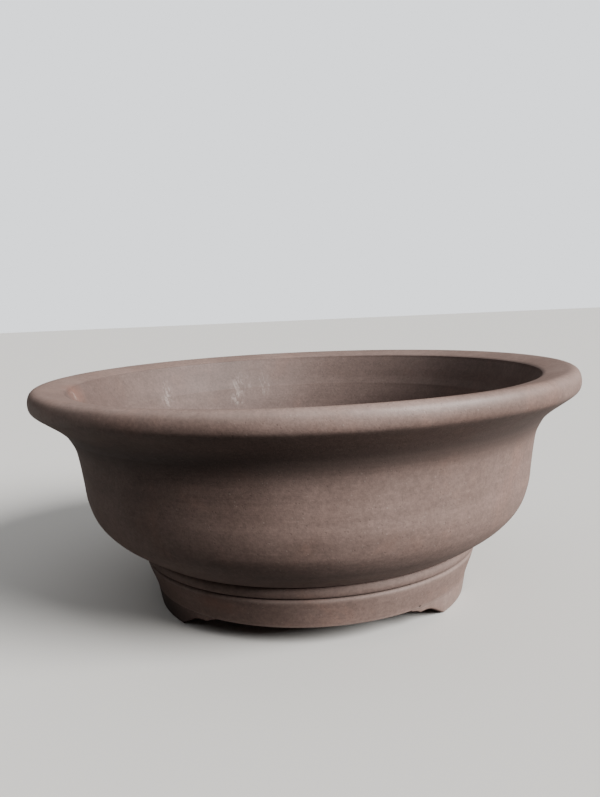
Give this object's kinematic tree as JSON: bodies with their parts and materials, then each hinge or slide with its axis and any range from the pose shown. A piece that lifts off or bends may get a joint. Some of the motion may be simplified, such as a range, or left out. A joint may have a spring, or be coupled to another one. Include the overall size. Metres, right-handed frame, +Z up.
{
  "type": "bonsai pot",
  "caption": "Round unglazed bonsai pot with a wide overhanging lip, a bellied bowl, a drained floor and a recessed foot ring on cloud feet.",
  "frame": {"origin": "centre of the pot at the level its feet stand on", "axes": "+Z up along the pot's turning axis; -Y is the front, midway between two feet, with the third foot at +Y; +X is to the right of someone who faces the front"},
  "size_m": [0.3, 0.3, 0.125],
  "materials": {
    "stoneware": "matte unglazed",
    "mesh_plastic": "matte",
    "clip_wire": "bright drawn wire"
  },
  "bodies": {
    "root": {"rim_lip": "stoneware", "bowl_wall": "stoneware", "floor_slab": "stoneware", "foot_collar": "stoneware", "foot_ring": "stoneware", "foot_right": "stoneware", "foot_left": "stoneware", "foot_back": "stoneware", "drain_mesh": "mesh_plastic", "mesh_clip": "clip_wire"}
  },
  "joints": []
}
